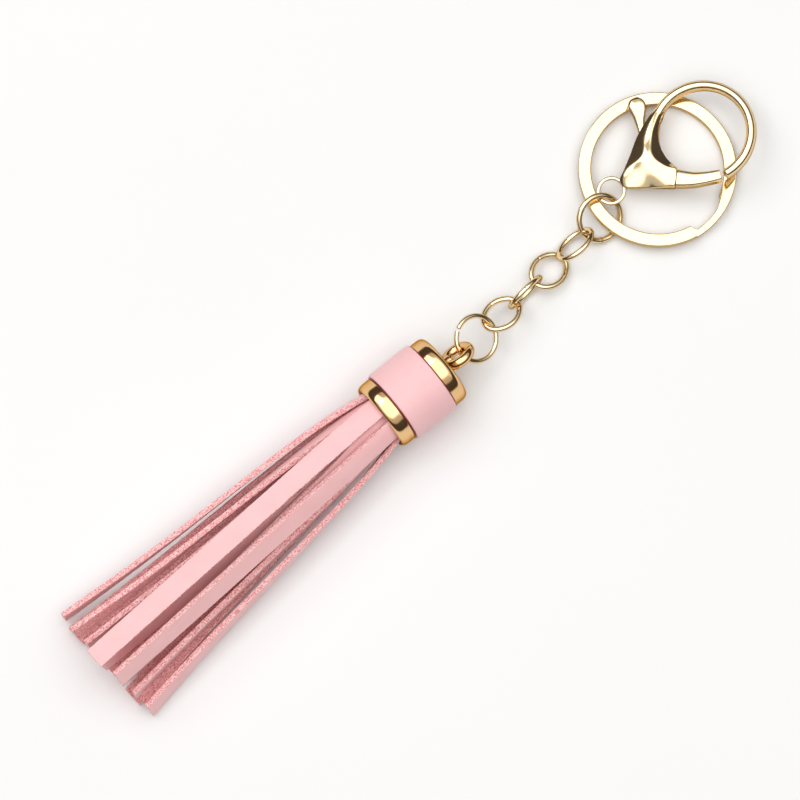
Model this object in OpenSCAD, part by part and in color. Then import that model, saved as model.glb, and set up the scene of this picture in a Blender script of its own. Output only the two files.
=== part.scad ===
// Leather tassel keychain: split key ring, lobster clasp, short link chain and a fringed tassel.
// It lies on a table. +X runs from the tips of the fringe to the rings, +Z is up, sizes are in mm.

/* [Key ring] */
// Outside diameter of the flat split ring
key_ring_d = 32.4; // [31.6:0.2:33]
// Width of its flat wire, across the ring
key_ring_band = 2.6; // [2:0.1:3]
// Thickness of one turn of the wire
key_ring_turn_t = 0.9; // [0.7:0.05:1.1]

/* [Jump rings] */
// Outside diameter of the ring that joins key ring, clasp and chain
large_ring_d = 10.35; // [10:0.05:10.6]
// Its wire
large_ring_wire = 1.05; // [0.9:0.05:1.1]
// Outside diameter of the ring in the tassel's loop
small_ring_d = 10.2; // [10:0.05:10.4]
// Its wire
small_ring_wire = 0.95; // [0.8:0.05:1]

/* [Chain] */
// Outside length of a chain link
link_l = 9.2; // [9:0.05:9.3]
// Outside width of a chain link
link_w = 7.35; // [7.2:0.05:7.5]
// Its wire
link_wire = 1.05; // [0.9:0.05:1.1]

/* [Clasp] */
// Middle of the eye to the middle of the hook
clasp_reach = 22; // [21.6:0.1:22.4]
// Inside radius of the hook
hook_inner_r = 8.95; // [8.8:0.05:9.1]
// Width of the hook, across its ring
hook_band = 2.1; // [1.9:0.05:2.2]
// Thickness of the hook
hook_t = 3; // [2.8:0.1:3.3]
// Thickness of the clasp's body
clasp_body_t = 4.8; // [4.4:0.1:5]
// Radius of the lever's pivot pin
clasp_pin_r = 0.7; // [0.6:0.05:0.8]

/* [Tassel head] */
// Diameter of the two metal rims
rim_d = 15.2; // [15:0.1:15.4]
// Diameter over the leather wrap
wrap_d = 16.2; // [16:0.1:16.4]
// Width of the leather wrap
wrap_l = 10.1; // [9.8:0.1:10.2]

/* [Fringe] */
// Width of a strip
strip_w = 4.4; // [4.2:0.1:4.6]
// Thickness of the leather
strip_t = 1.1; // [1:0.05:1.1]

/* [Hidden] */

$fn = 96;
gold = "#e9cf9a";
rose_gold = "#d2a878";
steel = "#b9bcc0";
leather = "#f6c3c2";
suede = "#e29a99";

// The whole object's box is centred on the origin, so every piece is shifted by this much
object_shift = [-5.15, 0.55, 0];
eps = 0.02;
function mix(a, b, s) = a + (b - a) * s;

// Where each ring and link lies: its middle, then its turn about X, Y and Z in degrees
key_ring_at = [[70.79, -0.55, 1.74], [-0.33, 2.86, 0]];
large_ring_at = [[55.13, -0.14, 3.1], [33, 3, 2]];
clasp_at = [[60.55, 2.27, 4.05], [-6.9, -4.9, -10.5]];
small_ring_at = [[19.15, -2.04, 6.82], [27, 15.4, 0]];
chain_at = [
    [[26.54, -1.56, 5.16], [-19.3, 11.3, 0]],
    [[33.4, -1.32, 3.9], [90, 3.5, 2.6]],
    [[40.15, -1.09, 2.18], [1, 16.5, 0]],
    [[47.62, -0.87, 3.48], [-51, 2.5, 2.7]]
];
link_names = ["chain_link_1", "chain_link_2", "chain_link_3", "chain_link_4"];

module placed() {
    translate(object_shift) children();
}

module lay(place) {
    placed() translate(place[0]) rotate(place[1]) children();
}

// ---- wire rings and links ----

// A ring of round wire, open by gap degrees at the given angle
module wire_ring(outside_d, wire, gap_at, gap) {
    rotate([0, 0, gap_at + gap / 2])
        rotate_extrude(angle = 360 - gap)
            translate([(outside_d - wire) / 2, 0]) circle(d = wire);
}

// Faces of a swept shape: rings of points joined by triangles, with flat ends or closed on itself
function sweep_faces(rings, sides, closed = false) = concat(
    closed ? [] : [[for (j = [0:sides - 1]) j]],
    [for (i = [0:rings - (closed ? 1 : 2)], j = [0:sides - 1], half = [0, 1])
        let (
            k = (i + 1) % rings,
            a = i * sides + j,
            b = i * sides + (j + 1) % sides,
            c = k * sides + j,
            d = k * sides + (j + 1) % sides
        )
        half == 0 ? [a, c, d] : [a, d, b]],
    closed ? [] : [[for (j = [sides - 1:-1:0]) (rings - 1) * sides + j]]
);

// An oval of round wire: two end arcs and two side arcs that meet smoothly
oval_steps = 9;
oval_sides = 12;

module wire_oval(length, width, wire) {
    half_l = (length - wire) / 2;
    half_w = (width - wire) / 2;
    end_r = 2.5;
    end_x = half_l - end_r;
    side_r = (end_x * end_x + half_w * half_w - end_r * end_r) / (2 * (half_w - end_r));
    side_y = side_r - half_w;
    turn = atan2(side_y, end_x);
    // Each arc: its middle, its radius, and the angles it runs between
    arcs = [
        [[end_x, 0], end_r, -turn, turn],
        [[0, -side_y], side_r, turn, 180 - turn],
        [[-end_x, 0], end_r, 180 - turn, 180 + turn],
        [[0, side_y], side_r, 180 + turn, 360 - turn]
    ];
    points = [for (arc = arcs, i = [0:oval_steps - 1])
        let (a = arc[2] + (arc[3] - arc[2]) * i / oval_steps)
        for (j = [0:oval_sides - 1])
            let (b = -360 * j / oval_sides, r = arc[1] + wire / 2 * cos(b))
            [arc[0][0] + r * cos(a), arc[0][1] + r * sin(a), wire / 2 * sin(b)]];
    polyhedron(points, sweep_faces(4 * oval_steps, oval_sides, true), convexity = 4);
}

module large_jump_ring() {
    color(gold) lay(large_ring_at) wire_ring(large_ring_d, large_ring_wire, 236, 3);
}

module small_jump_ring() {
    color(gold) lay(small_ring_at) wire_ring(small_ring_d, small_ring_wire, 122, 8);
}

module chain_link(i) {
    color(gold) lay(chain_at[i]) wire_oval(link_l, link_w, link_wire);
}

// ---- flat split key ring: two turns of flat wire, joined by one short ramp ----

key_ring_mid_r = (key_ring_d - key_ring_band) / 2;
turn_gap = 0.04;
turn_rise = key_ring_turn_t + turn_gap;
ramp_from = 260;
ramp_to = 292;
ramp_sunk = 1.5;
ramp_steps = 12;
ramp_band = 1.5;
cut_end_at = 258;

module flat_turn(from, to, level) {
    rotate([0, 0, from])
        rotate_extrude(angle = to - from)
            translate([key_ring_mid_r - key_ring_band / 2, level - key_ring_turn_t / 2])
                square([key_ring_band, key_ring_turn_t]);
}

// The wire climbs from the lower turn to the upper one, narrower as it goes, with its ends sunk in them
function ease(s) = s * s * (3 - 2 * s);
function ramp_ring(i) =
    let (
        s = i / ramp_steps,
        a = mix(ramp_from - ramp_sunk, ramp_to + ramp_sunk, s),
        level = (ease(s) - 0.5) * turn_rise,
        outer = key_ring_mid_r + key_ring_band / 2 - 0.05,
        inner = outer - mix(key_ring_band - 0.1, ramp_band, sin(180 * s)),
        half = key_ring_turn_t / 2 - 0.04
    )
    [for (corner = [[inner, -half], [inner, half], [outer, half], [outer, -half]])
        [corner[0] * cos(a), corner[0] * sin(a), level + corner[1]]];

module ramp() {
    points = [for (i = [0:ramp_steps]) each ramp_ring(i)];
    polyhedron(points, sweep_faces(ramp_steps + 1, 4), convexity = 4);
}

module key_ring() {
    color(gold) lay(key_ring_at) {
        flat_turn(ramp_to - 358, ramp_from, -turn_rise / 2);
        flat_turn(ramp_to - 360, cut_end_at, turn_rise / 2);
        ramp();
    }
}

// ---- lobster clasp, drawn with its eye at the origin and its hook along +X ----

hook_mid_r = hook_inner_r + hook_band / 2;
hook_root_angle = 118;
hook_tip_angle = -92;
eye_outer_r = 3.05;
eye_inner_r = 2.3;
eye_t = 0.75;
slot_t = 1.9;
pivot = [9.7, 0.6];
pin_depth = clasp_body_t - 0.6;
lever_t = 1.7;
gate_t = 3;
gate_clear_r = 7.6;
arm_end = [12.1, 8.2];
arm_end_r = 0.75;
paddle_t = 1.2;

module rounded_bar(a, ra, b, rb) {
    hull() {
        translate(a) circle(r = ra);
        translate(b) circle(r = rb);
    }
}

// The body: a front lobe, an upper arm that runs into the hook, and a lower arm
module body_outline() {
    difference() {
        union() {
            rounded_bar([4.2, 0], 1.8, [9.2, 1.6], 4);
            rounded_bar([5, 0.6], 1.6, [13.6, 7.6], 1.4);
            rounded_bar([5, -0.4], 1.6, [10.2, -3.6], 2);
            rounded_bar([13.6, 7.6], 1.4, [17.2, 8.9], 1.05);
        }
        translate([clasp_reach, 0]) circle(r = hook_inner_r);
    }
}

// The room for the lever, from closed to open
module slot_outline() {
    translate([6.4, -12]) square([8.5, 26]);
}

module clasp_body() {
    color(gold) lay(clasp_at) {
        difference() {
            translate([0, 0, -clasp_body_t / 2]) linear_extrude(clasp_body_t) body_outline();
            translate([0, 0, -slot_t / 2]) linear_extrude(slot_t) slot_outline();
            translate([pivot[0], pivot[1], -clasp_body_t / 2 - eps])
                cylinder(r = clasp_pin_r, h = pin_depth);
        }
        translate([clasp_reach, 0, 0])
            rotate([0, 0, hook_tip_angle])
                rotate_extrude(angle = hook_root_angle - hook_tip_angle)
                    hook_section();
        difference() {
            translate([0, 0, -eye_t / 2]) cylinder(r = eye_outer_r, h = eye_t);
            translate([0, 0, -eye_t]) cylinder(r = eye_inner_r, h = 2 * eye_t);
        }
    }
}

module hook_section() {
    flat = hook_t - hook_band;
    translate([hook_mid_r - hook_band / 2, -flat / 2]) square([hook_band, flat]);
    for (side = [-1, 1]) translate([hook_mid_r, side * flat / 2]) circle(d = hook_band);
}

module clasp_pin() {
    color(steel) lay(clasp_at)
        translate([pivot[0], pivot[1], -clasp_body_t / 2])
            cylinder(r = clasp_pin_r, h = pin_depth - 0.05);
}

// The lever's plate: a hub on the pin and the arm up to the paddle
module lever_outline() {
    difference() {
        union() {
            translate(pivot) circle(r = 2);
            rounded_bar(pivot, 1.7, arm_end, arm_end_r);
        }
        translate(pivot) circle(r = clasp_pin_r + 0.05);
    }
}

// The paddle is thinner than the arm and level with its front
module paddle() {
    translate([0, 0, lever_t / 2 - paddle_t])
        linear_extrude(paddle_t) rounded_bar(arm_end, arm_end_r, [13.3, 11.9], 1.75);
}

// The gate closes the hook: a tapering bar, cut square just short of the hook's tip
module gate_outline() {
    difference() {
        rounded_bar([12.2, -4.4], 1.6, [22.2, -9.9], 1.25);
        translate([20.8, -9.1]) rotate([0, 0, -31]) translate([0.1, -3]) square([6, 6]);
        translate([clasp_reach, 0]) circle(r = gate_clear_r);
    }
}

module clasp_lever() {
    color(gold) lay(clasp_at) {
        translate([0, 0, -lever_t / 2]) linear_extrude(lever_t) {
            lever_outline();
            rounded_bar([10.4, -1.8], 1.2, [13, -4.7], 1.2);
        }
        paddle();
        translate([0, 0, -gate_t / 2]) linear_extrude(gate_t)
            intersection() {
                gate_outline();
                translate([13.2, -14]) square([12, 12]);
            }
    }
}

// Compression spring between the body and the paddle's arm
spring_wire = 0.28;
spring_r = 0.65;
spring_turns = 5;
spring_from = [6.45, 3];
spring_l = 2.2;
spring_steps = 60;
spring_sides = 6;

function spring_ring(i) =
    let (s = i / spring_steps, a = 360 * spring_turns * s, x = spring_from[0] + 0.15 + (spring_l - 0.3) * s)
    [for (j = [0:spring_sides - 1])
        let (b = -360 * j / spring_sides, r = spring_r + spring_wire / 2 * cos(b))
        [x + spring_wire / 2 * sin(b), spring_from[1] + r * cos(a), r * sin(a)]];

module clasp_spring() {
    points = [for (i = [0:spring_steps]) each spring_ring(i)];
    color(steel) lay(clasp_at)
        polyhedron(points, sweep_faces(spring_steps + 1, spring_sides), convexity = 10);
}

// ---- tassel head, drawn along +X from the cap's mouth ----

head_at = [[0, -1.49, wrap_d / 2], [0, 0, -3.5]];
rim_l = 3.1;
mouth_x = -6.5;
wrap_x = -3.1;
cap_x = wrap_x + wrap_l + 0.2;
cap_l = 3.3;
neck_d = 13.6;
bore_d = 12.7;
bore_l = 14.5;
rim_round = 1.3;
loop_mid_r = 2.65;
loop_wire = 2.2;
loop_x = cap_x + cap_l + loop_mid_r + 0.6;
loop_roll = -53;

module turned() {
    rotate([0, 90, 0]) rotate_extrude() rotate([0, 0, 90]) children();
}

// Half of the cap's outline: x along the axis, y out from it
module cap_profile() {
    difference() {
        union() {
            rim_profile(mouth_x, rim_l, true);
            translate([mouth_x + rim_round, 0]) square([cap_x - mouth_x, neck_d / 2]);
            rim_profile(cap_x, cap_l, false);
        }
        translate([mouth_x - 1, -1]) square([bore_l + 1, bore_d / 2 + 1]);
        polygon([
            [mouth_x - 0.5, bore_d / 2 - 0.1],
            [mouth_x + 1.2, bore_d / 2 - 0.1],
            [mouth_x - 0.5, bore_d / 2 + 1.1]
        ]);
    }
}

// A rim with one rounded corner, on its outer end
module rim_profile(x, length, round_left) {
    corner_x = round_left ? x + rim_round : x + length - rim_round;
    straight_x = round_left ? x + rim_round : x;
    translate([straight_x, 0]) square([length - rim_round, rim_d / 2]);
    translate([x, 0]) square([length, rim_d / 2 - rim_round]);
    translate([corner_x, rim_d / 2 - rim_round]) circle(r = rim_round);
}

module tassel_cap() {
    color(rose_gold) lay(head_at) {
        turned() cap_profile();
        translate([loop_x, 0, 0]) rotate([loop_roll, 0, 0])
            rotate_extrude() translate([loop_mid_r, 0]) circle(d = loop_wire);
        translate([cap_x + cap_l - eps, 0, 0]) rotate([0, 90, 0]) cylinder(d = 3.4, h = 1);
    }
}

module leather_wrap() {
    color(leather) lay(head_at)
        turned() translate([wrap_x, neck_d / 2]) square([wrap_l, (wrap_d - neck_d) / 2]);
}

module fringe_core() {
    color(suede) lay(head_at)
        translate([core_x, 0, 0]) rotate([0, 90, 0]) cylinder(d = 12.3, h = core_l);
}

// ---- fringe: strips rolled up at the cap's mouth, fanned out and flat at their tips ----

root_x = -5.5;
core_x = root_x + 0.6;
core_l = 12.3;
strip_steps = 10;
strip_cuts = 3;
bundle_y = -1.1;
bundle_z = wrap_d / 2;

// Each strip: angle and radius in the roll, then its tip: y, z, turn and x
strips = [
    [-13, 5.5, 0.5, 15, 2, -82.8],
    [47, 5.5, -5.6, 14.1, 62, -82],
    [107, 5.5, -13.2, 3.1, 70, -80.7],
    [167, 5.5, -8.6, 0.7, 181, -81.2],
    [227, 5.5, 7.4, 0.7, 180, -80.9],
    [287, 5.5, 12.6, 3.4, 266, -80.7],
    [22, 4.2, -6.2, 8.5, 97, -81.6],
    [96, 4.2, -9.2, 6.1, 87, -81],
    [168, 4.2, -9.6, 2.6, 190, -80.4],
    [240, 4.2, 8.2, 2.4, 174, -81.4],
    [311, 4.2, 7.9, 7.8, 247, -81.8],
    [304, 2.9, 4.3, 9.3, 262, -81.5],
    [184, 2.9, -2.6, 5.6, 188, -81.3],
    [64, 2.9, -0.5, 9.3, 62, -82]
];

function spread(s) = 0.3 * (1 - pow(1 - s, 6)) + 0.4 * s + 0.3 * pow(s, 3);
function curl(s) = max(0.02, pow(1 - s, 5));

// One cross-section: an arc of leather whose radius opens out along the strip
function strip_ring(row, i) =
    let (
        s = i / strip_steps,
        f = spread(s),
        turn = mix(row[0], row[4], f),
        mid_y = mix(bundle_y - row[1] * sin(row[0]), row[2], f),
        mid_z = mix(bundle_z + row[1] * cos(row[0]), row[3], f),
        x = mix(root_x, row[5], s),
        half_turn = strip_w / row[1] / 2 * 180 / PI * curl(s),
        r = row[1] / curl(s),
        edge = [for (j = [-strip_cuts:2:strip_cuts]) half_turn * j / strip_cuts],
        arc = concat(
            [for (a = edge) [(r + strip_t / 2) * sin(a), (r + strip_t / 2) * cos(a) - r]],
            [for (j = [strip_cuts:-1:0]) let (a = edge[j])
                [(r - strip_t / 2) * sin(a), (r - strip_t / 2) * cos(a) - r]]
        )
    )
    [for (p = arc) [
        x,
        mid_y + p[0] * cos(turn) - p[1] * sin(turn),
        mid_z + p[0] * sin(turn) + p[1] * cos(turn)
    ]];

module strip(k) {
    points = [for (i = [0:strip_steps]) each strip_ring(strips[k - 1], i)];
    color(leather) placed()
        polyhedron(points, sweep_faces(strip_steps + 1, 2 * (strip_cuts + 1)), convexity = 6);
}

function strip_name(k) = str("strip_", k < 10 ? "0" : "", k);

key_ring();
large_jump_ring();
clasp_body();
clasp_lever();
clasp_pin();
clasp_spring();
for (i = [0:3]) chain_link(i);
small_jump_ring();
tassel_cap();
leather_wrap();
fringe_core();
for (k = [1:len(strips)]) strip(k);
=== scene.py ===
import math
import bpy
import numpy as np
from mathutils import Matrix, Vector


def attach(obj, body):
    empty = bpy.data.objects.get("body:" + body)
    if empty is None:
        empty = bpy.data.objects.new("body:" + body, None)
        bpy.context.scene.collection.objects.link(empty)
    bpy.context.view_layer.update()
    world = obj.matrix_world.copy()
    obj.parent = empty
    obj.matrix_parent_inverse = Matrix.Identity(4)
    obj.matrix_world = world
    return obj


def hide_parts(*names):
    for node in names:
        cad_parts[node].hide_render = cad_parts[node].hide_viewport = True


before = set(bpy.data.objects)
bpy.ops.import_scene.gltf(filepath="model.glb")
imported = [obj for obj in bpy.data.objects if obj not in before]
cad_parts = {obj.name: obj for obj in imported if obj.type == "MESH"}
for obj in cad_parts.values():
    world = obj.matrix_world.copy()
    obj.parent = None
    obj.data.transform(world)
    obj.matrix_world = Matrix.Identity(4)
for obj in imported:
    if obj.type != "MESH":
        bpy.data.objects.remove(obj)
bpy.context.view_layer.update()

mm = 0.001
objectShift = np.array([-5.15, 0.55, 0.0])  # the design's own shift, which centres the whole box
print("frame loaded:", len(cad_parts), "nodes")


# Turns about X, then Y, then Z, in degrees, as one 3x3 matrix
def turned(degrees):
    x, y, z = np.radians(degrees)
    rx = np.array([[1, 0, 0], [0, np.cos(x), -np.sin(x)], [0, np.sin(x), np.cos(x)]])
    ry = np.array([[np.cos(y), 0, np.sin(y)], [0, 1, 0], [-np.sin(y), 0, np.cos(y)]])
    rz = np.array([[np.cos(z), -np.sin(z), 0], [np.sin(z), np.cos(z), 0], [0, 0, 1]])
    return rz @ ry @ rx


# Points drawn in a piece's own axes, in mm, put where the piece lies, in metres
def laid(points, place):
    return (np.asarray(points, float) @ turned(place[1]).T + np.array(place[0]) + objectShift) * mm


# A curve through the rows of a table: Catmull-Rom, so each column passes smoothly through its numbers
def smoothRows(table, samples, closed=False):
    table = np.array(table, float)
    count = len(table)
    t = np.linspace(0, count if closed else count - 1, samples, endpoint=not closed)
    i = np.minimum(np.floor(t).astype(int), count - 1 if closed else count - 2)
    f = (t - i)[:, None]
    def pick(k):
        return table[(i + k) % count] if closed else table[np.clip(i + k, 0, count - 1)]
    a, b, c, d = pick(-1), pick(0), pick(1), pick(2)
    return 0.5 * (2 * b + (c - a) * f + (2 * a - 5 * b + 4 * c - d) * f ** 2 + (3 * b - a - 3 * c + d) * f ** 3)


# Quads over a grid of points [along, around], with its two ends closed by fans to their middles
def gridSurface(points, alongClosed=False, columnMaterial=None, capMaterial=0):
    rows, cols = points.shape[:2]
    along = np.arange(rows if alongClosed else rows - 1)
    i, j = [a.ravel() for a in np.meshgrid(along, np.arange(cols), indexing="ij")]
    k, n = (i + 1) % rows, (j + 1) % cols
    quads = np.stack([i * cols + j, k * cols + j, k * cols + n, i * cols + n], 1)
    kinds = np.zeros(len(quads), int) if columnMaterial is None else np.asarray(columnMaterial)[j]
    verts = points.reshape(-1, 3)
    fans = np.zeros((0, 3), int)
    if not alongClosed:
        first, last = np.arange(cols), (rows - 1) * cols + np.arange(cols)
        middles = np.stack([points[0].mean(0), points[-1].mean(0)])
        start, end = len(verts), len(verts) + 1
        verts = np.concatenate([verts, middles])
        fans = np.concatenate([
            np.stack([np.full(cols, start), first, np.roll(first, -1)], 1),
            np.stack([np.full(cols, end), np.roll(last, -1), last], 1)])
    return verts, quads, fans, kinds, np.full(len(fans), capMaterial)


# Six times the volume that the faces close in: negative if they point inwards
def signedVolume(verts, quads, fans):
    tris = np.concatenate([quads[:, [0, 1, 2]], quads[:, [0, 2, 3]], fans])
    a, b, c = verts[tris[:, 0]], verts[tris[:, 1]], verts[tris[:, 2]]
    return float((a * np.cross(b, c)).sum())


# One object from several closed surfaces; faces that meet more sharply than sharpAngle stay crisp
def makePiece(name, surfaces, materials, body, replaced, sharpAngle=40):
    verts, faces, kinds, base = [], [], [], 0
    for surface in surfaces:
        v, quads, fans, quadKinds, fanKinds = surface
        if signedVolume(v, quads, fans) < 0:
            quads, fans = quads[:, ::-1], fans[:, ::-1]
        verts.append(v)
        faces += (quads + base).tolist() + (fans + base).tolist()
        kinds += quadKinds.tolist() + fanKinds.tolist()
        base += len(v)
    mesh = bpy.data.meshes.new(name)
    mesh.from_pydata(np.concatenate(verts).tolist(), [], faces)
    for material in materials:
        mesh.materials.append(material)
    mesh.polygons.foreach_set("material_index", kinds)
    mesh.polygons.foreach_set("use_smooth", [True] * len(faces))
    mesh.set_sharp_from_angle(angle=math.radians(sharpAngle))
    mesh.update()
    piece = bpy.data.objects.new(name, mesh)
    bpy.context.scene.collection.objects.link(piece)
    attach(piece, body)
    if replaced:
        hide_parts(*replaced)
    return piece


# An easy step from 0 to 1: 3t^2 - 2t^3, held flat outside
def easeStep(t):
    t = np.clip(t, 0, 1)
    return t * t * (3 - 2 * t)


# A circle or rounded square section: |x/a|^p + |y/b|^p = 1, as cosines and sines raised to 2/p
def softSection(count, power=2.0):
    a = np.linspace(0, 2 * np.pi, count, endpoint=False)
    c, s = np.cos(a), np.sin(a)
    return np.stack([np.sign(c) * np.abs(c) ** (2 / power), np.sign(s) * np.abs(s) ** (2 / power)], 1)


def newMaterial(name):
    material = bpy.data.materials.new(name)
    material.use_nodes = True
    nodes = material.node_tree.nodes
    return material, nodes, material.node_tree.links, nodes["Principled BSDF"]


def noiseNode(nodes, links, scale, detail=3.0, stretch=(1, 1, 1)):
    where = nodes.new("ShaderNodeTexCoord")
    mapping = nodes.new("ShaderNodeMapping")
    mapping.inputs["Scale"].default_value = stretch
    noise = nodes.new("ShaderNodeTexNoise")
    noise.inputs["Scale"].default_value = scale
    noise.inputs["Detail"].default_value = detail
    links.new(where.outputs["Object"], mapping.inputs["Vector"])
    links.new(mapping.outputs["Vector"], noise.inputs["Vector"])
    return noise


def rampNode(nodes, links, source, stops):
    ramp = nodes.new("ShaderNodeValToRGB")
    while len(ramp.color_ramp.elements) < len(stops):
        ramp.color_ramp.elements.new(0.5)
    for element, (place, colour) in zip(ramp.color_ramp.elements, stops):
        element.position = place
        element.color = (*colour, 1)
    links.new(source, ramp.inputs["Fac"])
    return ramp


def bumpNode(nodes, links, source, shader, strength, distance):
    bump = nodes.new("ShaderNodeBump")
    bump.inputs["Strength"].default_value = strength
    bump.inputs["Distance"].default_value = distance
    links.new(source, bump.inputs["Height"])
    links.new(bump.outputs["Normal"], shader.inputs["Normal"])


# Plated metal: a little wander in colour and gloss, and a faint orange-peel bump
def platedMetal(name, colour, rough=(0.05, 0.13), wear=0.93, peel=0.03, edge=(0.5, 0.3, 0.12)):
    material, nodes, links, shader = newMaterial(name)
    shader.inputs["Metallic"].default_value = 1.0
    shader.inputs["Specular Tint"].default_value = (*edge, 1)  # darkens the metal where it turns away
    patches = noiseNode(nodes, links, 260, 4)
    darker = tuple(c * wear for c in colour)
    tint = rampNode(nodes, links, patches.outputs["Fac"], [(0.35, darker), (0.65, colour)])
    links.new(tint.outputs["Color"], shader.inputs["Base Color"])
    gloss = nodes.new("ShaderNodeMapRange")
    gloss.inputs["To Min"].default_value, gloss.inputs["To Max"].default_value = rough
    links.new(noiseNode(nodes, links, 900, 5).outputs["Fac"], gloss.inputs["Value"])
    links.new(gloss.outputs["Result"], shader.inputs["Roughness"])
    bumpNode(nodes, links, noiseNode(nodes, links, 1500, 2).outputs["Fac"], shader, peel, 0.0001)
    return material


# Smooth finished leather: pale colour with a fine pebble grain
def smoothLeather(name, light, dark, rough=0.46):
    material, nodes, links, shader = newMaterial(name)
    patches = noiseNode(nodes, links, 190, 5)
    tint = rampNode(nodes, links, patches.outputs["Fac"], [(0.3, dark), (0.7, light)])
    links.new(tint.outputs["Color"], shader.inputs["Base Color"])
    shader.inputs["Roughness"].default_value = rough
    shader.inputs["Specular IOR Level"].default_value = 0.3
    shader.inputs["Sheen Weight"].default_value = 0.1
    shader.inputs["Sheen Roughness"].default_value = 0.5
    where = nodes.new("ShaderNodeTexCoord")
    cells = nodes.new("ShaderNodeTexVoronoi")
    cells.inputs["Scale"].default_value = 2600
    links.new(where.outputs["Object"], cells.inputs["Vector"])
    bumpNode(nodes, links, cells.outputs["Distance"], shader, 0.18, 0.00005)
    return material


# Suede side and cut edges: short fibres as streaky speckles, rough and matt
def suedeLeather(name, light, middle, dark, speckle=4200):
    material, nodes, links, shader = newMaterial(name)
    fibres = noiseNode(nodes, links, speckle, 3, (0.7, 1, 1))
    tint = rampNode(nodes, links, fibres.outputs["Fac"], [(0.4, dark), (0.49, middle), (0.58, light)])
    links.new(tint.outputs["Color"], shader.inputs["Base Color"])
    shader.inputs["Roughness"].default_value = 0.85
    shader.inputs["Specular IOR Level"].default_value = 0.25
    shader.inputs["Sheen Weight"].default_value = 0.3
    shader.inputs["Sheen Roughness"].default_value = 0.6
    bumpNode(nodes, links, fibres.outputs["Fac"], shader, 0.7, 0.00015)
    return material


paleGold = platedMetal("paleGold", (0.88, 0.70, 0.43))
castGold = platedMetal("castGold", (0.88, 0.70, 0.43), rough=(0.06, 0.14), peel=0.05)
roseGold = platedMetal("roseGold", (0.86, 0.56, 0.28), rough=(0.05, 0.11), peel=0.04)
plainSteel = platedMetal("plainSteel", (0.62, 0.60, 0.57), rough=(0.18, 0.3), edge=(0.8, 0.8, 0.8))
faceLeather = smoothLeather("faceLeather", (0.955, 0.565, 0.57), (0.935, 0.525, 0.53))
wrapLeather = smoothLeather("wrapLeather", (0.94, 0.57, 0.58), (0.915, 0.535, 0.545))
# Cut-edge suede: the same suede as the back, painted lighter as painted light where the cut edges face up
suedeWithPaintedLight = suedeLeather("suedeWithPaintedLight", (0.97, 0.66, 0.64), (0.88, 0.42, 0.42), (0.66, 0.22, 0.23))
# Back suede: the same suede, painted darker as painted shade for the strip backs and the roll, which lie in
# shadow
suedeWithPaintedShade = suedeLeather("suedeWithPaintedShade", (0.88, 0.46, 0.45), (0.76, 0.32, 0.32), (0.55, 0.18, 0.19))
paintedEdge = smoothLeather("paintedEdge", (0.30, 0.045, 0.04), (0.22, 0.03, 0.03), rough=0.3)
print("materials ready")


keyRing = {
    "place": [[70.79, -0.55, 1.74], [-0.33, 2.86, 0]],
    "outerRadius": 16.2, "band": 2.6, "turn": 0.9, "rise": 0.94, "corner": 0.26,
    "start": -66.0, "climbFrom": 261.0, "climbTo": 292.0, "end": 618.0,
    "narrowBand": 1.45, "widenFrom": 279.0, "widenTo": 303.0, "endChamfer": 0.93,
}


# Rounded rectangle carried twice round a circle: the level steps up once, where the band also narrows inwards
def keyRingSurface(p):
    a = np.concatenate([np.arange(p["start"], p["climbFrom"] - 4, 2.0),
                        np.arange(p["climbFrom"] - 4, p["widenTo"] + 2, 0.5),
                        np.arange(p["widenTo"] + 2, p["end"] + 0.1, 2.0)])
    level = (easeStep((a - p["climbFrom"] + 2) / (p["climbTo"] - p["climbFrom"])) - 0.5) * p["rise"]
    narrowing = easeStep((a - p["climbFrom"] + 4) / 4) * (
        1 - easeStep((a - p["widenFrom"]) / (p["widenTo"] - p["widenFrom"])))
    width = p["band"] - (p["band"] - p["narrowBand"]) * narrowing
    quarter = np.radians(np.linspace(0, 90, 6))
    arcs = [(1, 1, 0), (-1, 1, 90), (-1, -1, 180), (1, -1, 270)]
    c = np.concatenate([np.cos(quarter + np.radians(t)) for _, _, t in arcs]) * p["corner"]
    s = np.concatenate([np.sin(quarter + np.radians(t)) for _, _, t in arcs]) * p["corner"]
    sx = np.repeat([q[0] for q in arcs], 6)
    sz = np.repeat([q[1] for q in arcs], 6)
    half = width[:, None] / 2
    radius = p["outerRadius"] - half + sx * (half - p["corner"]) + c
    z = level[:, None] + sz * (p["turn"] / 2 - p["corner"]) + s
    angle = np.radians(a)[:, None]
    points = np.stack([radius * np.cos(angle), radius * np.sin(angle), z + 0 * angle], -1)
    # the two cut ends are eased by a small chamfer
    for row in (0, -1):
        middle = points[row].mean(0)
        points[row] = middle + (points[row] - middle) * p["endChamfer"]
    return gridSurface(laid(points, p["place"]))


makePiece("keyRing", [keyRingSurface(keyRing)], [paleGold], "key_ring", ["key_ring"])
print("key ring built")


jumpRings = [
    {"name": "largeJumpRing", "node": "large_jump_ring", "body": "large_ring",
     "place": [[55.13, -0.14, 3.1], [33, 3, 2]], "outside": 10.55, "wire": 1.2, "gapAt": 236, "gap": 2.4},
    {"name": "smallJumpRing", "node": "small_jump_ring", "body": "small_ring",
     "place": [[19.15, -2.04, 6.82], [27, 15.4, 0]], "outside": 10.3, "wire": 1.05, "gapAt": 122, "gap": 8},
]
endRim, endRimLength = 0.86, 0.014  # how the cut ends of a ring are eased: size, and angle in radians


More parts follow.
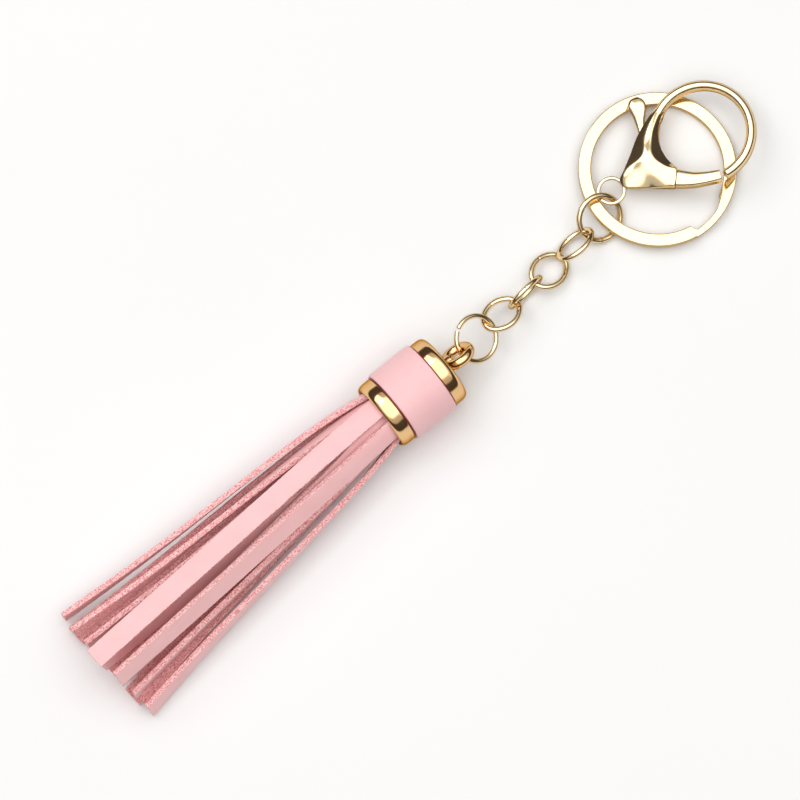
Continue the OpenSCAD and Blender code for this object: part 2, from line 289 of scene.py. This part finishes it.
# A circle of round wire carried round a ring and cut once, its end rims eased
def jumpRingSurface(p):
    a = np.radians(np.linspace(p["gapAt"] + p["gap"] / 2, p["gapAt"] + 360 - p["gap"] / 2, 181))
    section = softSection(24) * p["wire"] / 2
    size = np.ones(len(a))
    size[[0, -1]] = endRim
    a[[1, -2]] = a[0] + endRimLength, a[-1] - endRimLength
    radius = (p["outside"] - p["wire"]) / 2 + size[:, None] * section[None, :, 0]
    points = np.stack([radius * np.cos(a)[:, None], radius * np.sin(a)[:, None],
                       size[:, None] * section[None, :, 1]], -1)
    return gridSurface(laid(points, p["place"]))


for ring in jumpRings:
    makePiece(ring["name"], [jumpRingSurface(ring)], [paleGold], ring["body"], [ring["node"]])

chain = {
    "length": 9.5, "width": 7.6, "wire": 1.2, "endRadius": 2.5, "steps": 40,
    "seamDepth": 0.09, "seamWidth": 0.55,
    "places": [
        [[26.54, -1.56, 5.16], [-19.3, 11.3, 0]],
        [[33.4, -1.32, 3.9], [90, 3.5, 2.6]],
        [[40.15, -1.09, 2.18], [1, 16.5, 0]],
        [[47.62, -0.87, 3.48], [-51, 2.5, 2.7]],
    ],
}


# Round wire on an oval of four arcs that meet smoothly, with the fine groove of its closed butt joint
def linkSurface(p, place):
    halfL, halfW = (p["length"] - p["wire"]) / 2, (p["width"] - p["wire"]) / 2
    endX = halfL - p["endRadius"]
    sideR = (endX ** 2 + halfW ** 2 - p["endRadius"] ** 2) / (2 * (halfW - p["endRadius"]))
    sideY = sideR - halfW
    turn = math.atan2(sideY, endX)
    arcs = [(endX, 0, p["endRadius"], -turn, turn),
            (0, -sideY, sideR, turn, math.pi - turn),
            (-endX, 0, p["endRadius"], math.pi - turn, math.pi + turn),
            (0, sideY, sideR, math.pi + turn, 2 * math.pi - turn)]
    t = np.linspace(0, 1, p["steps"], endpoint=False)
    a = np.concatenate([lo + (hi - lo) * t for _, _, _, lo, hi in arcs])
    cx = np.repeat([q[0] for q in arcs], p["steps"])
    cy = np.repeat([q[1] for q in arcs], p["steps"])
    r = np.repeat([q[2] for q in arcs], p["steps"])
    where = np.arange(len(a)) - 1.5 * p["steps"]
    size = 1 - p["seamDepth"] * np.exp(-(where / p["seamWidth"]) ** 2)
    section = softSection(24) * p["wire"] / 2
    out = r[:, None] + size[:, None] * section[None, :, 0]
    points = np.stack([cx[:, None] + out * np.cos(a)[:, None], cy[:, None] + out * np.sin(a)[:, None],
                       size[:, None] * section[None, :, 1]], -1)
    return gridSurface(laid(points, place), alongClosed=True)


for i, place in enumerate(chain["places"], 1):
    makePiece("chainLink%d" % i, [linkSurface(chain, place)], [paleGold],
              "link_%d" % i, ["chain_link_%d" % i])
print("rings and links built")


# The lobster clasp is drawn in its own axes: eye at the origin, hook along +X
clasp = {
    "place": [[60.55, 2.27, 4.05], [-6.9, -4.9, -10.5]],
    "hookCentre": (22.0, 0.0), "hookInner": 8.95, "hookBand": 2.1, "hookThick": 3.0,
    "hookFrom": 132.0, "hookTo": -95.5,
    "eyeOuter": 3.05, "eyeInner": 2.3, "eyeThick": 0.75,
    "heart": (10.2, 1.3), "gridMiddle": (11.6, 3.4),
    # the outline: x, y, height of its edge, slope of the facet that rises from it
    "outline": [
        (2.5, 0.8, 0.5, 0.6), (4.4, 2.05, 1.1, 0.45), (7.2, 4.05, 1.3, 0.43), (10.1, 6.35, 1.3, 0.45),
        (12.6, 7.8, 1.25, 0.5), (14.6, 8.8, 1.1, 0.6), (16.2, 9.5, 0.95, 0.8), (17.0, 9.72, 0.8, 1.2),
        (17.55, 9.0, 0.8, 1.3),
        (17.86, 8.1, 0.8, 1.2), (16.84, 7.37, 0.9, 0.9), (15.64, 6.36, 1.0, 0.9), (14.45, 4.9, 1.0, 0.85),
        (13.54, 3.08, 1.0, 0.75), (13.09, 1.25, 1.0, 0.7), (13.03, -0.78, 1.0, 0.7), (13.35, -2.48, 1.1, 0.9),
        (13.6, -3.9, 1.2, 2.0), (12.6, -5.4, 1.3, 3.0), (11.3, -6.6, 1.2, 1.6), (10.1, -5.95, 1.2, 0.7),
        (8.5, -4.95, 1.2, 0.45), (6.0, -3.4, 1.1, 0.4), (4.0, -2.05, 0.9, 0.42), (2.5, -0.95, 0.5, 0.6),
    ],
    # three ridges from the heart: to the eye, the hook and the gate; end x, y and crown height there
    "ridges": [(2.4, 0.0, 0.7), (17.4, 8.9, 1.35), (12.4, -5.2, 1.65)],
    "crown": 2.4, "fall": 0.075, "ridgeBlend": 6, "facetBlend": 14, "rimEase": 0.1,
}


# Crown height: from the heart it falls along the nearest ridge, and with the square of the distance from it
def crownHeight(x, y, p):
    hx, hy = p["heart"]
    best = np.full(x.shape, -9.0)
    for ex, ey, end in p["ridges"]:
        dx, dy = ex - hx, ey - hy
        t = np.clip(((x - hx) * dx + (y - hy) * dy) / (dx * dx + dy * dy), 0, 1)
        off = np.hypot(x - hx - t * dx, y - hy - t * dy)
        height = p["crown"] + (end - p["crown"]) * t ** 1.3 - p["fall"] * off ** 2
        best = np.logaddexp(best * p["ridgeBlend"], height * p["ridgeBlend"]) / p["ridgeBlend"]
    return best


# Pillow over the outline: the lower of the crown and of the facets, each of which rises from its edge point as
# edge height + slope * distance from that point
def bodySurface(p, columns=360, rings=70):
    rim = smoothRows(p["outline"], columns, closed=True)
    dense = smoothRows(p["outline"], 5 * columns, closed=True)
    middle = np.array(p["gridMiddle"])
    v = np.linspace(0, 1, rings)[1:] ** 0.85
    flat = middle + v[:, None, None] * (rim[None, :, :2] - middle)
    facet = np.array([
        (dense[:, 2] + dense[:, 3] * np.hypot(row[:, :1] - dense[:, 0], row[:, 1:] - dense[:, 1])).min(1)
        for row in flat])
    crown = crownHeight(flat[..., 0], flat[..., 1], p)
    z = -np.logaddexp(-facet * p["facetBlend"], -crown * p["facetBlend"]) / p["facetBlend"]
    z[-1] -= p["rimEase"]
    top = np.dstack([flat, z])
    bottom = (top * np.array([1, 1, -1]))[::-1]
    return gridSurface(laid(np.concatenate([top, bottom]), p["place"]))


# Rounded section carried along an arc: it swells from its root, inside the body, and ends in a dome
def hookSurface(p):
    a = np.radians(np.linspace(p["hookFrom"], p["hookTo"], 200))
    t = np.linspace(0, 1, len(a))
    root = np.clip(1 - t / 0.05, 0, 1) ** 2
    halfW = p["hookBand"] / 2 * (1 - 0.1 * root)
    halfT = p["hookThick"] / 2 * (1 - 0.3 * root)
    tail = np.clip((t - 0.985) / 0.015, 0, 1)
    dome = np.sqrt(np.clip(1 - (tail * 0.93) ** 2, 0, 1))
    section = softSection(40, 2.25)
    radius = p["hookInner"] + p["hookBand"] / 2 + (halfW * dome)[:, None] * section[None, :, 0]
    points = np.stack([p["hookCentre"][0] + radius * np.cos(a)[:, None],
                       p["hookCentre"][1] + radius * np.sin(a)[:, None],
                       (halfT * dome)[:, None] * section[None, :, 1]], -1)
    return gridSurface(laid(points, p["place"]))


# Flat ring with rounded edges
def eyeSurface(p):
    a = np.linspace(0, 2 * np.pi, 120, endpoint=False)
    section = softSection(24, 2.8)
    radius = (p["eyeOuter"] + p["eyeInner"]) / 2 + (p["eyeOuter"] - p["eyeInner"]) / 2 * section[None, :, 0]
    points = np.stack([radius * np.cos(a)[:, None], radius * np.sin(a)[:, None],
                       p["eyeThick"] / 2 * section[None, :, 1] + 0 * a[:, None]], -1)
    return gridSurface(laid(points, p["place"]), alongClosed=True)


makePiece("claspBody", [bodySurface(clasp), hookSurface(clasp), eyeSurface(clasp)], [castGold],
          "clasp", ["clasp_body"], sharpAngle=60)

lever = {
    # along the gate arm, the paddle and the hidden root: centre x, y, half width, half thickness and level
    "gate": [
        (12.6, -5.4, 1.85, 1.5, 0), (13.7, -6.3, 1.72, 1.5, 0), (15.3, -7.45, 1.5, 1.5, 0),
        (17.1, -8.4, 1.36, 1.5, 0), (18.8, -9.15, 1.25, 1.5, 0), (20.35, -9.7, 1.15, 1.45, 0),
    ],
    "paddle": [
        (9.7, 0.6, 1.2, 0.45, 0), (10.55, 3.2, 0.6, 0.45, 0), (11.3, 5.8, 0.75, 0.5, 0),
        (12.0, 7.7, 0.85, 0.6, 0.05),
        (12.6, 9.3, 1.05, 0.62, 0.25), (13.1, 10.4, 1.4, 0.64, 0.45), (13.6, 11.6, 1.8, 0.66, 0.55),
        (13.85, 12.5, 1.82, 0.62, 0.6), (14.1, 13.3, 1.45, 0.5, 0.6), (14.25, 13.75, 0.9, 0.32, 0.6),
        (14.3, 13.95, 0.3, 0.12, 0.6),
    ],
    "root": [
        (9.7, 0.6, 1.3, 0.45, 0), (10.4, -1.4, 1.3, 0.45, 0),
        (11.5, -3.4, 1.3, 0.45, 0), (13.1, -5.6, 1.2, 0.45, 0),
    ],
}


# Soft rectangular section carried along a smooth line: its width lies across the line, its thickness along Z
def armSurface(table, place, rows=70, power=3.2):
    line = smoothRows(table, rows)
    along = np.gradient(line[:, :2], axis=0)
    along /= np.linalg.norm(along, axis=1)[:, None]
    across = np.stack([-along[:, 1], along[:, 0]], 1)
    section = softSection(36, power)
    flat = line[:, None, :2] + across[:, None] * (line[:, 2, None] * section[None, :, 0])[..., None]
    z = line[:, 4, None] + line[:, 3, None] * section[None, :, 1]
    return gridSurface(laid(np.dstack([flat, z]), place))


makePiece("claspLever",
          [armSurface(lever["gate"], clasp["place"], power=4),
           armSurface(lever["paddle"], clasp["place"], power=2.5),
           armSurface(lever["root"], clasp["place"])],
          [castGold], "clasp_lever", ["clasp_lever"], sharpAngle=50)
print("clasp built")

head = {
    "place": [[0, -1.49, 8.1], [0, 0, -3.5]],
    # half outline of the cap: x and radius, from the bore's end out of the mouth and back along the outside
    "capOutline": [
        (8.0, 0.01), (8.0, 6.25), (7.9, 6.35), (-5.0, 6.35), (-5.8, 6.5), (-6.35, 6.85), (-6.5, 7.0),
        (-6.42, 7.14), (-6.15, 7.33), (-5.8, 7.47), (-5.3, 7.57), (-4.7, 7.6), (-3.6, 7.6), (-3.5, 7.58),
        (-3.43, 7.5), (-3.4, 7.2), (-3.4, 6.8),
        (7.2, 6.8), (7.2, 7.5), (7.24, 7.57), (7.33, 7.6), (8.6, 7.6), (9.2, 7.6), (9.65, 7.5), (10.05, 7.27),
        (10.33, 6.9), (10.47, 6.5), (10.5, 6.1), (10.5, 2.6), (10.52, 2.2), (10.62, 1.9), (10.85, 1.72),
        (11.5, 1.65), (12.1, 1.6), (12.1, 0.01),
    ],
    "loopMid": 2.65, "loopWire": 2.2, "loopX": 13.75, "loopRoll": -53,
    "wrapFrom": -3.1, "wrapTo": 7.0, "wrapOuter": 8.08, "wrapInner": 6.82, "wrapEdge": 0.28,
    "crown": 0.06, "seamAt": 270, "seamDepth": 0.16, "paintRadius": 7.8,
}


# A half outline turned about X: each x and radius r becomes the circle (x, r cos a, r sin a)
def turnedPoints(outline, columns):
    outline = np.array(outline, float)
    a = np.linspace(0, 2 * np.pi, columns, endpoint=False)
    x, r = outline[:, 0], outline[:, 1]
    return np.stack([x[:, None] + 0 * a, r[:, None] * np.cos(a), r[:, None] * np.sin(a)], -1)


# The turned cap, and its loop: a circle of wire carried round a ring and rolled about the cap's axis
def capSurfaces(p):
    body = gridSurface(laid(turnedPoints(p["capOutline"], 160), p["place"]))
    a = np.linspace(0, 2 * np.pi, 120, endpoint=False)
    section = softSection(36) * p["loopWire"] / 2
    radius = p["loopMid"] + section[None, :, 0]
    ring = np.stack([radius * np.cos(a)[:, None], radius * np.sin(a)[:, None],
                     section[None, :, 1] + 0 * a[:, None]], -1)
    ring = ring @ turned([p["loopRoll"], 0, 0]).T + np.array([p["loopX"], 0, 0])
    return [body, gridSurface(laid(ring, p["place"]), alongClosed=True)]


makePiece("tasselCap", capSurfaces(head), [roseGold],
          "tassel_head", ["tassel_cap"], sharpAngle=50)


# The wrap: a soft-edged sleeve, a little crowned, with a shallow lap seam underneath
def wrapSurface(p, columns=240):
    x0, x1, outer, inner = p["wrapFrom"], p["wrapTo"], p["wrapOuter"], p["wrapInner"]
    bend = np.radians(np.linspace(0, 90, 7))
    edge = p["wrapEdge"]
    left = np.stack([x0 + edge - edge * np.cos(bend), outer - edge + edge * np.sin(bend)], 1)
    flat = np.linspace(x0 + edge, x1 - edge, 30)[1:-1]
    top = np.stack([flat, np.full(len(flat), outer)], 1)
    right = (left * [-1, 1] + [x0 + x1, 0])[::-1]
    under = np.array([(x1, inner), (x0, inner)])
    ring = np.concatenate([left, top, right, under])
    a = np.linspace(0, 2 * np.pi, columns, endpoint=False)
    middle = (x0 + x1) / 2
    crown = p["crown"] * (1 - ((ring[:, 0] - middle) / (x1 - middle)) ** 2) * (ring[:, 1] > inner + 0.5)
    away = np.abs((np.degrees(a) - p["seamAt"] + 180) % 360 - 180)
    seam = -p["seamDepth"] * np.exp(-(away / 1.6) ** 2)
    ripple = 0.025 * np.sin(3 * a + 0.6) + 0.015 * np.sin(7 * a)
    r = ring[:, 1, None] + crown[:, None] + (ring[:, 1, None] > inner + 0.2) * (seam + ripple)[None]
    points = np.stack([ring[:, 0, None] + 0 * a, r * np.cos(a), r * np.sin(a)], -1)
    return gridSurface(laid(points.transpose(1, 0, 2), p["place"]), alongClosed=True)


# Dark edge paint: a thin collar just inside each end of the wrap
def paintRing(p, x0, x1):
    inner, outer = p["wrapInner"], p["paintRadius"]
    outline = [(x0, inner), (x0, outer - 0.08), (x0 + 0.04, outer),
               (x1 - 0.04, outer), (x1, outer - 0.08), (x1, inner)]
    points = turnedPoints(outline, 160)
    return gridSurface(laid(points.transpose(1, 0, 2), p["place"]), alongClosed=True)


makePiece("leatherWrap", [wrapSurface(head)], [wrapLeather], "tassel_head", ["leather_wrap"])
makePiece("wrapEdgePaint", [paintRing(head, -3.32, -3.06), paintRing(head, 6.96, 7.16)], [paintedEdge],
          "tassel_head", [])
print("tassel head built")

rolledCore = {"from": -4.9, "to": 7.3, "inner": 0.45, "outer": 6.0, "thick": 0.95, "pitch": 1.1, "edge": 0.15}


# A flat band rolled up as a spiral: the radius grows by one pitch a turn
def coreSurface(p):
    turns = (p["outer"] - p["thick"] / 2 - p["inner"]) / p["pitch"]
    a = np.linspace(0, turns * 2 * np.pi, 320)
    r = p["inner"] + p["thick"] / 2 + p["pitch"] * a / (2 * np.pi) - 0.1
    half = p["thick"] / 2
    edge, x0, x1 = p["edge"], p["from"], p["to"]
    section = np.array([(x0, -half + edge), (x0, half - edge), (x0 + edge, half), (x1 - edge, half),
                        (x1, half - edge), (x1, -half + edge), (x1 - edge, -half), (x0 + edge, -half)])
    radius = r[:, None] + section[None, :, 1]
    points = np.stack([section[None, :, 0] + 0 * radius,
                       radius * np.cos(a)[:, None], radius * np.sin(a)[:, None]], -1)
    return gridSurface(laid(points, head["place"]))


# The roll takes the suede painted darker as painted shade
makePiece("rolledCore", [coreSurface(rolledCore)], [suedeWithPaintedShade],
          "tassel_head", ["fringe_core"])

fringe = {
    "width": 4.4, "thick": 1.1, "rootX": -5.5, "bundle": (-1.1, 8.1), "rows": 110, "acrossPoints": 11,
    "moving": 6, "corner": 0.09, "cornerWidth": 0.035, "cutRoughness": 0.018, "rootParing": 0.16,
    # angle and radius in the roll, then the tip: y, z, turn and x
    "strips": [
        [-13, 5.5, 0.5, 15, 2, -82.8],
        [47, 5.5, -5.6, 14.1, 62, -82],
        [107, 5.5, -13.2, 3.1, 70, -80.7],
        [167, 5.5, -8.6, 0.7, 181, -81.2],
        [227, 5.5, 7.4, 0.7, 180, -80.9],
        [287, 5.5, 12.6, 3.4, 266, -80.7],
        [22, 4.2, -6.2, 8.5, 97, -81.6],
        [96, 4.2, -9.2, 6.1, 87, -81],
        [168, 4.2, -9.6, 2.6, 190, -80.4],
        [240, 4.2, 8.2, 2.4, 174, -81.4],
        [311, 4.2, 7.9, 7.8, 247, -81.8],
        [304, 2.9, 4.3, 9.3, 262, -81.5],
        [184, 2.9, -2.6, 5.6, 188, -81.3],
        [64, 2.9, -0.5, 9.3, 62, -82],
    ],
}


# A strip: an arc of leather whose radius opens out along X as rootR / (1 - s)^5, turning and moving from its
# root to its tip by the share 0.3 (1 - (1 - s)^6) + 0.4 s + 0.3 s^3.
# Across the arc the outer side is the smooth face; the two cut edges are a little uneven.
def stripSurface(p, row, seed):
    rootAngle, rootR, tipY, tipZ, tipTurn, tipX = row
    s = np.linspace(0, 1, p["rows"])
    f = 0.3 * (1 - (1 - s) ** 6) + 0.4 * s + 0.3 * s ** 3
    turn = np.radians(rootAngle + (tipTurn - rootAngle) * f)
    ra = math.radians(rootAngle)
    y0, z0 = p["bundle"][0] - rootR * math.sin(ra), p["bundle"][1] + rootR * math.cos(ra)
    midY, midZ = y0 + (tipY - y0) * f, z0 + (tipZ - z0) * f
    curl = np.maximum(0.02, (1 - s) ** 5)
    half = p["width"] / rootR / 2 * curl
    r = rootR / curl
    n = p["acrossPoints"]
    t = np.linspace(-1, 1, n)
    lift, corner = p["thick"] / 2, p["corner"]
    shoulder = [1 - p["cornerWidth"]]
    # across position, height and kind of each point round the section
    side = np.linspace(lift - corner, -lift + corner, 4)
    across = np.concatenate([t[:-1], shoulder, np.ones(4), shoulder,
                             t[::-1][1:-1], np.negative(shoulder), -np.ones(4), np.negative(shoulder)])
    height = np.concatenate([np.full(n, lift), side, np.full(n, -lift), side[::-1], [lift]])
    across[0] = 2 * p["cornerWidth"] - 1
    # kind 0 is the smooth face, 1 the cut edges in suede painted lighter as painted light, 2 the back in suede
    # painted darker as painted shade
    kinds = np.concatenate([np.zeros(n - 1, int), np.ones(6, int), np.full(n - 2, 2), np.ones(6, int)])
    rng = np.random.default_rng(seed)
    rough = rng.normal(0, p["cutRoughness"], (len(s), len(across))) * (np.abs(across) > 0.99)
    a = half[:, None] * across[None]
    # pared at the root, where the strip lifts against the cap's lip
    thin = 1 - p["rootParing"] * np.exp(-(s / 0.07) ** 2)
    reach = r[:, None] + thin[:, None] * height[None]
    outY = reach * np.sin(a) + rough * np.sign(across)
    outZ = reach * np.cos(a) - r[:, None]
    wave = 0.05 * np.sin(s * 9 + seed) * s
    y = midY[:, None] + outY * np.cos(turn)[:, None] - (outZ + wave[:, None]) * np.sin(turn)[:, None]
    z = midZ[:, None] + outY * np.sin(turn)[:, None] + (outZ + wave[:, None]) * np.cos(turn)[:, None]
    x = p["rootX"] + (tipX - p["rootX"]) * s
    points = (np.stack([x[:, None] + 0 * y, y, z], -1) + objectShift) * mm
    return gridSurface(points, columnMaterial=kinds, capMaterial=1)


# Each strip: smooth face, cut edges and end caps in the suede painted lighter as painted light, back in the
# suede painted darker as painted shade
for k, row in enumerate(fringe["strips"], 1):
    node = "strip_%02d" % k
    makePiece("fringeStrip%02d" % k, [stripSurface(fringe, row, k)], [faceLeather, suedeWithPaintedLight, suedeWithPaintedShade],
              node if k <= fringe["moving"] else "tassel_head", [node], sharpAngle=45)
print("fringe built")

# The pin and the spring keep their design shapes and get plain steel
for node in ("clasp_pin", "clasp_spring"):
    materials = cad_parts[node].data.materials
    materials.clear()
    materials.append(plainSteel)


# Stage, light and camera; seen is the width of table in view, in metres
stage = {"target": (-0.00515, 0.00055, 0.0), "tilt": 10.5, "distance": 1.9, "seen": 0.1627, "floor": 0.86,
         "floorReach": 4.0, "sensor": 36}
target = Vector(stage["target"])
upInView = Vector((0.676, 0.737, 0)).normalized()
rightInView = Vector((0.737, -0.676, 0)).normalized()
tilt = math.radians(stage["tilt"])

floorMaterial, nodes, links, shader = newMaterial("paleFloor")
shader.inputs["Roughness"].default_value = 0.75
shader.inputs["Specular IOR Level"].default_value = 0.2
shade = rampNode(nodes, links, noiseNode(nodes, links, 9, 2).outputs["Fac"],
                 [(0.3, (stage["floor"],) * 3), (0.7, (stage["floor"] + 0.01,) * 3)])
links.new(shade.outputs["Color"], shader.inputs["Base Color"])
floorMesh = bpy.data.meshes.new("floor")
reach = stage["floorReach"]
corners = [(-reach, -reach, 0), (reach, -reach, 0), (reach, reach, 0), (-reach, reach, 0)]
floorMesh.from_pydata(corners, [], [(0, 1, 2, 3)])
floorMesh.materials.append(floorMaterial)
floor = bpy.data.objects.new("floor", floorMesh)
bpy.context.scene.collection.objects.link(floor)

# Sky: bright overhead and dark near the horizon, so that the metal shows both; the camera sees plain pale
world = bpy.data.worlds.new("studio")
bpy.context.scene.world = world
world.use_nodes = True
wn, wl = world.node_tree.nodes, world.node_tree.links
background = wn["Background"]
sky = wn.new("ShaderNodeTexCoord")
split = wn.new("ShaderNodeSeparateXYZ")
wl.new(sky.outputs["Generated"], split.inputs["Vector"])
skyRamp = rampNode(wn, wl, split.outputs["Z"], [
    (0.0, (0.36, 0.33, 0.30)), (0.1, (0.03, 0.025, 0.022)), (0.52, (0.04, 0.033, 0.03)),
    (0.6, (0.26, 0.25, 0.24)), (0.78, (0.32, 0.315, 0.31)), (0.87, (1.0, 1.0, 1.0))])
wl.new(skyRamp.outputs["Color"], background.inputs["Color"])
background.inputs["Strength"].default_value = 2.2
plain = wn.new("ShaderNodeBackground")
plain.inputs["Color"].default_value = (0.9, 0.9, 0.9, 1)
path = wn.new("ShaderNodeLightPath")
mixShader = wn.new("ShaderNodeMixShader")
wl.new(path.outputs["Is Camera Ray"], mixShader.inputs["Fac"])
wl.new(background.outputs["Background"], mixShader.inputs[1])
wl.new(plain.outputs["Background"], mixShader.inputs[2])
wl.new(mixShader.outputs["Shader"], wn["World Output"].inputs["Surface"])


def areaLight(name, place, power, size):
    data = bpy.data.lights.new(name, "AREA")
    data.energy, data.size = power, size
    light = bpy.data.objects.new(name, data)
    light.location = place
    light.rotation_euler = (-Vector(place)).to_track_quat("-Z", "Y").to_euler()
    bpy.context.scene.collection.objects.link(light)


areaLight("keySoftbox", (-0.15, 0.75, 1.0), 3.0, 0.7)
areaLight("fillSoftbox", (0.5, -0.55, 1.1), 0.6, 0.8)

cameraData = bpy.data.cameras.new("camera")
camera = bpy.data.objects.new("camera", cameraData)
bpy.context.scene.collection.objects.link(camera)
back = -upInView * math.sin(tilt) + Vector((0, 0, math.cos(tilt)))
camera.location = target + back * stage["distance"]
upAxis = back.cross(rightInView)
camera.matrix_world = Matrix((
    (rightInView.x, upAxis.x, back.x, camera.location.x),
    (rightInView.y, upAxis.y, back.y, camera.location.y),
    (rightInView.z, upAxis.z, back.z, camera.location.z), (0, 0, 0, 1)))
cameraData.sensor_width = stage["sensor"]
cameraData.lens = stage["sensor"] * stage["distance"] / stage["seen"]
cameraData.clip_start, cameraData.clip_end = 0.05, 20
bpy.context.scene.camera = camera
bpy.context.scene.view_settings.view_transform = "Standard"
print("stage ready")
